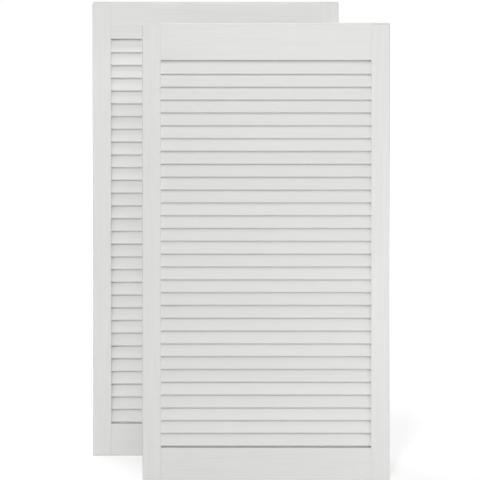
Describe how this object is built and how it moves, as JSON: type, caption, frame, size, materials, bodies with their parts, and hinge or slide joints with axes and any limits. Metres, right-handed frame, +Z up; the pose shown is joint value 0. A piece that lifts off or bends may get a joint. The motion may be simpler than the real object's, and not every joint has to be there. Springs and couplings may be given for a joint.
{
  "type": "pair of louvered doors",
  "caption": "Two equal louvered cupboard door leaves of white painted wood, standing one behind the other: stiles and rails framing a bank of closely lapped fixed slats.",
  "frame": {"origin": "on the floor, under the middle of the box around both leaves", "axes": "+Z up along the stiles, fronts of both leaves towards -Y, +X to the right as seen from the front; the rear leaf stands towards +Y and -X"},
  "size_m": [0.642, 0.341, 0.993],
  "materials": {
    "frame_paint": "satin",
    "slat_paint": "satin",
    "dowel_beech": "matte"
  },
  "bodies": {
    "rear_leaf": {"rear_bottom_rail": "frame_paint", "rear_dowel_bottom_left_inner": "dowel_beech", "rear_dowel_bottom_left_outer": "dowel_beech", "rear_dowel_bottom_right_inner": "dowel_beech", "rear_dowel_bottom_right_outer": "dowel_beech", "rear_dowel_top_left_inner": "dowel_beech", "rear_dowel_top_left_outer": "dowel_beech", "rear_dowel_top_right_inner": "dowel_beech", "rear_dowel_top_right_outer": "dowel_beech", "rear_left_stile_and_slats": "frame_paint", "rear_right_stile": "frame_paint", "rear_top_rail": "frame_paint"},
    "front_leaf": {"front_bottom_rail": "frame_paint", "front_dowel_bottom_left_inner": "dowel_beech", "front_dowel_bottom_left_outer": "dowel_beech", "front_dowel_bottom_right_inner": "dowel_beech", "front_dowel_bottom_right_outer": "dowel_beech", "front_dowel_top_left_inner": "dowel_beech", "front_dowel_top_left_outer": "dowel_beech", "front_dowel_top_right_inner": "dowel_beech", "front_dowel_top_right_outer": "dowel_beech", "front_left_stile": "frame_paint", "front_right_stile": "frame_paint", "front_slat_01": "slat_paint", "front_slat_02": "slat_paint", "front_slat_03": "slat_paint", "front_slat_04": "slat_paint", "front_slat_05": "slat_paint", "front_slat_06": "slat_paint", "front_slat_07": "slat_paint", "front_slat_08": "slat_paint", "front_slat_09": "slat_paint", "front_slat_10": "slat_paint", "front_slat_11": "slat_paint", "front_slat_12": "slat_paint", "front_slat_13": "slat_paint", "front_slat_14": "slat_paint", "front_slat_15": "slat_paint", "front_slat_16": "slat_paint", "front_slat_17": "slat_paint", "front_slat_18": "slat_paint", "front_slat_19": "slat_paint", "front_slat_20": "slat_paint", "front_slat_21": "slat_paint", "front_slat_22": "slat_paint", "front_slat_23": "slat_paint", "front_slat_24": "slat_paint", "front_slat_25": "slat_paint", "front_slat_26": "slat_paint", "front_slat_27": "slat_paint", "front_slat_28": "slat_paint", "front_slat_29": "slat_paint", "front_slat_30": "slat_paint", "front_top_rail": "frame_paint"}
  },
  "joints": [
    {"name": "front_leaf_slide", "type": "slide", "parent": "rear_leaf", "child": "front_leaf", "axis": [1, 0, 0], "range_m": [-0.109, 0.427]}
  ]
}
